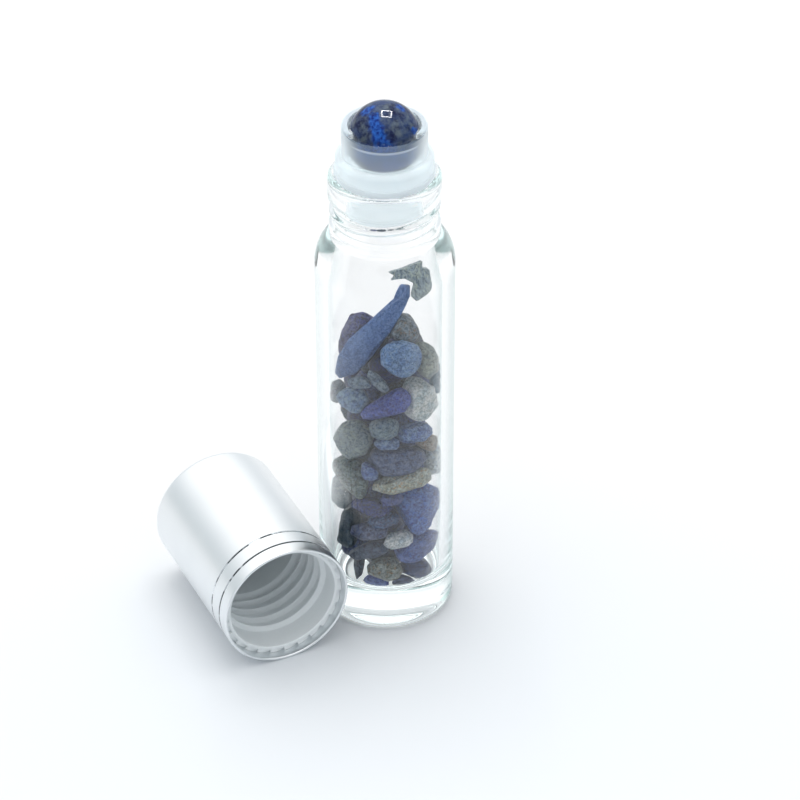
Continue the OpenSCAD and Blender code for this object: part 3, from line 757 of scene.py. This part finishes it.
def build_cap():
    place = (Matrix.Rotation(math.radians(CAP_TURN), 4, "Z")
             @ Matrix.Translation((CAP_REACH, -CAP_SIDE, CAP_R))
             @ Matrix.Rotation(math.radians(-90), 4, "Y"))
    shell_in_r = CAP_R - CAP_WALL
    inner_crown_r = CROWN_R - CAP_WALL
    crown_z = CAP_H - CROWN_R
    shell = (
        [(0, CAP_H), (CAP_R / 3, CAP_H), (CAP_R * CROWN_RING_SHARE, CAP_H)]
        + arc(CAP_R - CROWN_R, crown_z, CROWN_R, 90, 0, 10)
        + run((CAP_R, crown_z - 2 * SHELL_CLEAR), (CAP_R, GROOVES[1] + SHELL_CLEAR), 5)
        + groove(GROOVES[1]) + groove(GROOVES[0])
        + arc(CAP_R - CAP_WALL / 2, CAP_WALL / 2, CAP_WALL / 2, 0, -180, 8)
        + run((shell_in_r, SHELL_CLEAR), (shell_in_r, crown_z - SHELL_CLEAR), 4)
        + arc(shell_in_r - inner_crown_r, crown_z, inner_crown_r, 0, 90, 5)
        + [(0, CAP_H - CAP_WALL)])
    bm = turn(shell, 224)
    piece("cap_shell_turned", bm, "cap", satin_aluminium(place), ["cap_shell"],
          place=place, sharp=25)

    bore_z = LINER_RIM_Z + LINER_EDGE
    bore_h = LINER_STEP_Z - LINER_RIM_Z - LINER_EDGE
    liner = (
        [(0, LINER_TOP_Z)]
        + arc(LINER_R - LINER_CROWN_R, LINER_TOP_Z - LINER_CROWN_R, LINER_CROWN_R, 90, 0, 5)
        + [(LINER_R, LINER_RIM_Z + LINER_WALL_CLEAR), (LINER_R, LINER_RIM_Z)]
        + [(NOTCH_IN_R + NOTCH_EDGE, LINER_RIM_Z), (NOTCH_IN_R, LINER_RIM_Z)]
        + [(LINER_BORE_R + LINER_EDGE, LINER_RIM_Z)]
        + [(LINER_BORE_R, bore_z + bore_h * k / LINER_BORE_STEPS) for k in range(LINER_BORE_STEPS + 1)]
        + [(LINER_TOP_BORE_R, LINER_STEP_Z + LINER_STEP_SLOPE), (LINER_TOP_BORE_R, LINER_END_Z)]
        + [(SEAL_OUT_R, LINER_END_Z), (SEAL_OUT_R, SEAL_Z + SEAL_OUT_CHAMFER)]
        + [(SEAL_OUT_R - SEAL_OUT_CHAMFER, SEAL_Z), (SEAL_IN_R + SEAL_IN_CHAMFER, SEAL_Z)]
        + [(SEAL_IN_R, SEAL_Z + SEAL_IN_CHAMFER), (SEAL_IN_R, LINER_END_Z), (0, LINER_END_Z)])
    bm = turn(liner, NOTCHES * len(NOTCH_COLUMN_SHARES))
    shape_liner(bm)
    piece("cap_liner_moulded", bm, "cap", white_plastic(), ["cap_liner"],
          place=place, sharp=30)


# Stone chips

# How a chip is ground: flats spread by the golden angle, each cut by a chance share of its reach
FLAT_TURN = 2.39996
FLAT_DEPTH = 0.4
FLAT_SHARE = 0.03
FLAT_CHANCE_SHARE = 0.13
SEED_TURN = 1.7
SEED_TILT = (0.9, 0.5, 0)
SEED_SHIFT = (7.3, 3.1, 5.7)
# Hollows in a chip's surface: size and depth
HOLLOWS = ((2.6, 0.16), (1.1, 0.09), (0.4, 0.035))
CHIP_CUTS = 7
GLASS_GAP = 0.05
CRISP_CHIPS = ("chip_tail_shard", "chip_slate_blade")
CRISP_WEAR = {"rounds": 1, "facets": 0, "relief": 0.4}
USUAL_WEAR = {"rounds": 3, "facets": 13, "relief": 1.0}


def islands(bm):
    """The separate solids of a mesh, each as a set of vertex indices."""
    left, found = set(bm.verts), []
    while left:
        start = left.pop()
        group, open_ends = {start}, [start]
        while open_ends:
            vert = open_ends.pop()
            for edge in vert.link_edges:
                other = edge.other_vert(vert)
                if other in left:
                    left.discard(other)
                    group.add(other)
                    open_ends.append(other)
        found.append({vert.index for vert in group})
    return sorted(found, key=min)


def node_solids(name):
    """The solids of a CAD node, as merged meshes in millimetres."""
    whole = bmesh.new()
    whole.from_mesh(frame["nodes"][name].data)
    bmesh.ops.scale(whole, vec=(1 / MM,) * 3, verts=whole.verts)
    bmesh.ops.remove_doubles(whole, verts=whole.verts, dist=CAD_MERGE_DIST)
    whole.verts.index_update()
    solids = []
    for group in islands(whole):
        solid = whole.copy()
        solid.verts.ensure_lookup_table()
        others = [vert for vert in solid.verts if vert.index not in group]
        bmesh.ops.delete(solid, geom=others, context="VERTS")
        bmesh.ops.recalc_face_normals(solid, faces=solid.faces)
        solids.append(solid)
    whole.free()
    return solids


def chance(seed, number):
    """A share from 0 to 1 that looks random and is the same on each run."""
    return (math.sin(seed * 12.9898 + number * 78.233) * 43758.5453) % 1


def facet(bm, middle, seed, count):
    """Grinds flats on a chip: what stands out past a plane is pressed back to it."""
    for k in range(count):
        up = 1 - (2 * k + 1) / count
        around = k * FLAT_TURN + seed * SEED_TURN
        flat = math.sqrt(1 - up * up)
        way = Vector((flat * math.cos(around), flat * math.sin(around), up))
        way.rotate(Euler([seed * tilt for tilt in SEED_TILT]))
        reach = max((vert.co - middle).dot(way) for vert in bm.verts)
        reach -= min(reach * (FLAT_SHARE + FLAT_CHANCE_SHARE * chance(seed, k)), FLAT_DEPTH)
        for vert in bm.verts:
            over = (vert.co - middle).dot(way) - reach
            if over > 0:
                vert.co -= way * over


def soften(bm, rounds):
    for _ in range(rounds):
        bmesh.ops.smooth_vert(bm, verts=bm.verts, factor=0.5, use_axis_x=True, use_axis_y=True,
                              use_axis_z=True)


def grow_to(bm, middle, volume):
    """Scales a chip about its middle to the given volume."""
    factor = (volume / bm.calc_volume()) ** (1 / 3)
    bmesh.ops.translate(bm, vec=-middle, verts=bm.verts)
    bmesh.ops.scale(bm, vec=(factor,) * 3, verts=bm.verts)
    bmesh.ops.translate(bm, vec=middle, verts=bm.verts)
    bm.normal_update()


def hollow(bm, seed, relief):
    """Gives a chip shallow hollows and keeps it inside the glass."""
    shift = Vector([seed * step for step in SEED_SHIFT])
    moved = []
    for vert in bm.verts:
        at = vert.co + shift
        height = sum(depth * noise.noise(at / size) for size, depth in HOLLOWS)
        moved.append(vert.co + vert.normal * height * relief)
    for vert, co in zip(bm.verts, moved):
        flat = co.xy.length
        if flat > INNER_R - GLASS_GAP:
            co.x *= (INNER_R - GLASS_GAP) / flat
            co.y *= (INNER_R - GLASS_GAP) / flat
        co.z = max(co.z, FLOOR_Z + GLASS_GAP)
        vert.co = co


def wear(bm, seed, rounds, facets, relief):
    """Tumbles a chip: rounded corners, flats and shallow hollows on a chip that keeps its size."""
    volume = bm.calc_volume()
    bmesh.ops.subdivide_edges(bm, edges=bm.edges, cuts=CHIP_CUTS, use_grid_fill=True)
    soften(bm, rounds)
    middle = sum((vert.co for vert in bm.verts), Vector()) / len(bm.verts)
    facet(bm, middle, seed, facets)
    soften(bm, 1)
    grow_to(bm, middle, volume)
    hollow(bm, seed, relief)


def build_chips():
    slots = {row["node"]: row["material_slot"] for row in frame["record"]["subparts"]}
    back = [stone(f"stone_back_{k}", *look) for k, look in enumerate(BACK_LOOKS, 1)]
    shaded_deep = [stone(f"stone_deep_painted_shade_{k}", *look) for k, look in enumerate(SHADED_DEEP_LOOKS, 1)]
    seed = 0
    for node in [node for node in slots if "chip" in node]:
        material = stone(f"stone_{node}", *CHIP_LOOKS[node]) if node in CHIP_LOOKS else None
        solids = node_solids(node)
        for number, bm in enumerate(solids, 1):
            seed += 1
            wear(bm, seed, **(CRISP_WEAR if node in CRISP_CHIPS else USUAL_WEAR))
            middle = sum((vert.co.xy for vert in bm.verts), Vector((0, 0))) / len(bm.verts)
            # Unnamed chips near the axis or short of the back take the dark looks, painted shade in the gaps
            looks = shaded_deep if middle.length < DEEP_R or middle.y < DEEP_Y else back
            name = f"{node}_{number}" if len(solids) > 1 else f"{node}_worn"
            piece(name, bm, "bottle", material or looks[seed % len(looks)], [node], sharp=60)


# Studio: a white tent, brightest overhead, with a dark slot where the camera looks in

TENT_TOP = (1.50, 1.50, 1.49)
TENT_SIDE = (0.80, 0.85, 0.89)
TENT_LEFT = (0.62, 0.68, 0.70)
TENT_RIGHT = (0.34, 0.40, 0.42)
TENT_SLOT = (0.05, 0.055, 0.065)
# Where each part of the tent starts and where it is full: by height, to either side, and towards the camera
TENT_TOP_START = (0.35, 0.95)
TENT_LEFT_START = (0.80, 0.96)
TENT_RIGHT_START = (0.72, 0.94)
TENT_SLOT_START = (0.965, 0.985)
TENT_LEAN = 0.25
CAMERA_WAY = (0.0, -0.815, 0.580)
PAPER_HALF = 4
# The paper is darker and bluer towards the front: painted shade for light falling off away from the back
PAPER_NEAR_SHADED = (0.765, 0.79, 0.82)
PAPER_FAR = (0.795, 0.795, 0.80)
PAPER_Y = (-20, 45)
# Painted light: the paper under the glass glows as if the glass gathered light onto it, with a ring left
# without the glow where its foot stands
PAINTED_LIGHT_UNDER_GLASS = (0.56, 0.585, 0.575)
RING_IN = (6.5, 6.9)
RING_OUT = (7.2, 7.6)
# A grey card in front of the view keeps the glass from mirroring the lit paper over the stones
GREY_CARD = (0.46, 0.475, 0.495)
GREY_CARD_Y = (50, 90)
# Lamps and camera are placed in metres
RING_CENTRE = Vector((0, 0.27, 1.04))
BALL_RING_CENTRE = Vector((0.1, 0.26, 1.02))
RING_TIP = -14
RING_REACH = 0.21
RING_LAMP = (0.45, 0.04)
RING_LAMP_ENERGY = 0.5
BALL_LAMP_ENERGY = 7.0
CAMERA_PLACE = (0, -0.4153, 0.33055)
CAMERA_PITCH = 35.43
CAMERA_TURN = 0.29
CAMERA_ROLL = -0.07
CAMERA_LENS = 157.5
CAMERA_SENSOR = 36
CAMERA_CLIP = 0.01


def build_floor():
    bm = bmesh.new()
    bmesh.ops.create_grid(bm, x_segments=1, y_segments=1, size=PAPER_HALF)
    mesh = bpy.data.meshes.new("floor")
    bm.to_mesh(mesh)
    bm.free()
    floor = bpy.data.objects.new("floor", mesh)
    bpy.context.scene.collection.objects.link(floor)
    material, board = new_material("floor_paper")
    place = board.place()
    back = board.along("Y", place)
    away = board.vector("LENGTH", {0: place}, out="Value")
    # Painted shade: the paper darkens towards the front
    paper = board.mix(board.between(back, *PAPER_Y), PAPER_NEAR_SHADED, PAPER_FAR)
    paper = board.mix(board.between(0.0 - back, *GREY_CARD_Y), paper, GREY_CARD)
    # The paper glows with painted light under the glass, except in a ring at the foot and beyond the heel
    glow_off = board.math("MAXIMUM", board.between(away, BODY_R - HEEL_R, BODY_R),
                       board.band(away, RING_IN, RING_OUT))
    painted_glow = board.mix(glow_off, PAINTED_LIGHT_UNDER_GLASS, (0, 0, 0))
    board.finish(board.shader(Base_Color=paper, Roughness=0.8, Emission_Color=painted_glow, Emission_Strength=1.0))
    mesh.materials.append(material)


def build_tent():
    world = bpy.data.worlds.new("studio")
    bpy.context.scene.world = world
    world.use_nodes = True
    board = Board(world.node_tree)
    way = board.node("ShaderNodeTexCoord", out="Generated")
    right = board.along("X", way)
    overhead = board.along("Z", way) + TENT_LEAN * board.along("Y", way)
    to_camera = board.vector("DOT_PRODUCT", {0: way, 1: CAMERA_WAY}, out="Value")
    sky = board.mix(board.between(overhead, *TENT_TOP_START), TENT_SIDE, TENT_TOP)
    sky = board.mix(board.between(right, *TENT_RIGHT_START), sky, TENT_RIGHT)
    sky = board.mix(board.between(0.0 - right, *TENT_LEFT_START), sky, TENT_LEFT)
    sky = board.mix(board.between(to_camera, *TENT_SLOT_START), sky, TENT_SLOT)
    light = board.node("ShaderNodeBackground", None, {"Color": sky, "Strength": 1.0})
    board.node("ShaderNodeOutputWorld", None, {"Surface": light})


def build_ring(name, energy, centre):
    """A square ring of four lamps overhead."""
    ring = []
    for number in range(4):
        lamp = bpy.data.lights.new(f"{name}_{number + 1}", "AREA")
        lamp.shape = "RECTANGLE"
        lamp.size, lamp.size_y = RING_LAMP
        lamp.energy = energy
        made = bpy.data.objects.new(lamp.name, lamp)
        turn_to = Matrix.Rotation(math.radians(90 * number), 4, "Z")
        tip = Matrix.Rotation(math.radians(RING_TIP), 4, "X")
        made.matrix_world = (Matrix.Translation(centre) @ tip @ turn_to
                             @ Matrix.Translation((0, RING_REACH, 0)))
        bpy.context.scene.collection.objects.link(made)
        ring.append(made)
    return ring


def light_ball(ball):
    """A second ring, only as it mirrors in the ball."""
    only_ball = bpy.data.collections.new("only_ball")
    only_ball.objects.link(ball)
    for lamp in build_ring("ball_lamp", BALL_LAMP_ENERGY, BALL_RING_CENTRE):
        lamp.light_linking.receiver_collection = only_ball
        lamp.visible_diffuse = False


def build_camera():
    camera = bpy.data.objects.new("camera", bpy.data.cameras.new("camera"))
    camera.data.sensor_width = CAMERA_SENSOR
    camera.data.lens = CAMERA_LENS
    camera.data.clip_start = CAMERA_CLIP
    camera.matrix_world = (Matrix.Translation(CAMERA_PLACE)
                           @ Matrix.Rotation(-math.radians(CAMERA_TURN), 4, "Z")
                           @ Matrix.Rotation(math.pi / 2 - math.radians(CAMERA_PITCH), 4, "X")
                           @ Matrix.Rotation(math.radians(CAMERA_ROLL), 4, "Z"))
    bpy.context.scene.collection.objects.link(camera)
    bpy.context.scene.camera = camera


build_camera()
build_floor()
build_tent()
build_ring("ring_lamp", RING_LAMP_ENERGY, RING_CENTRE)
build_bottle()
light_ball(build_roller())
build_cap()
build_chips()

scene = bpy.context.scene
scene.view_settings.view_transform = "Standard"
scene.view_settings.look = "None"
# Light passes many walls of glass and plastic before it reaches the camera
scene.cycles.max_bounces = 64
scene.cycles.transmission_bounces = 48
scene.cycles.diffuse_bounces = 5
scene.cycles.glossy_bounces = 48
scene.cycles.transparent_max_bounces = 12
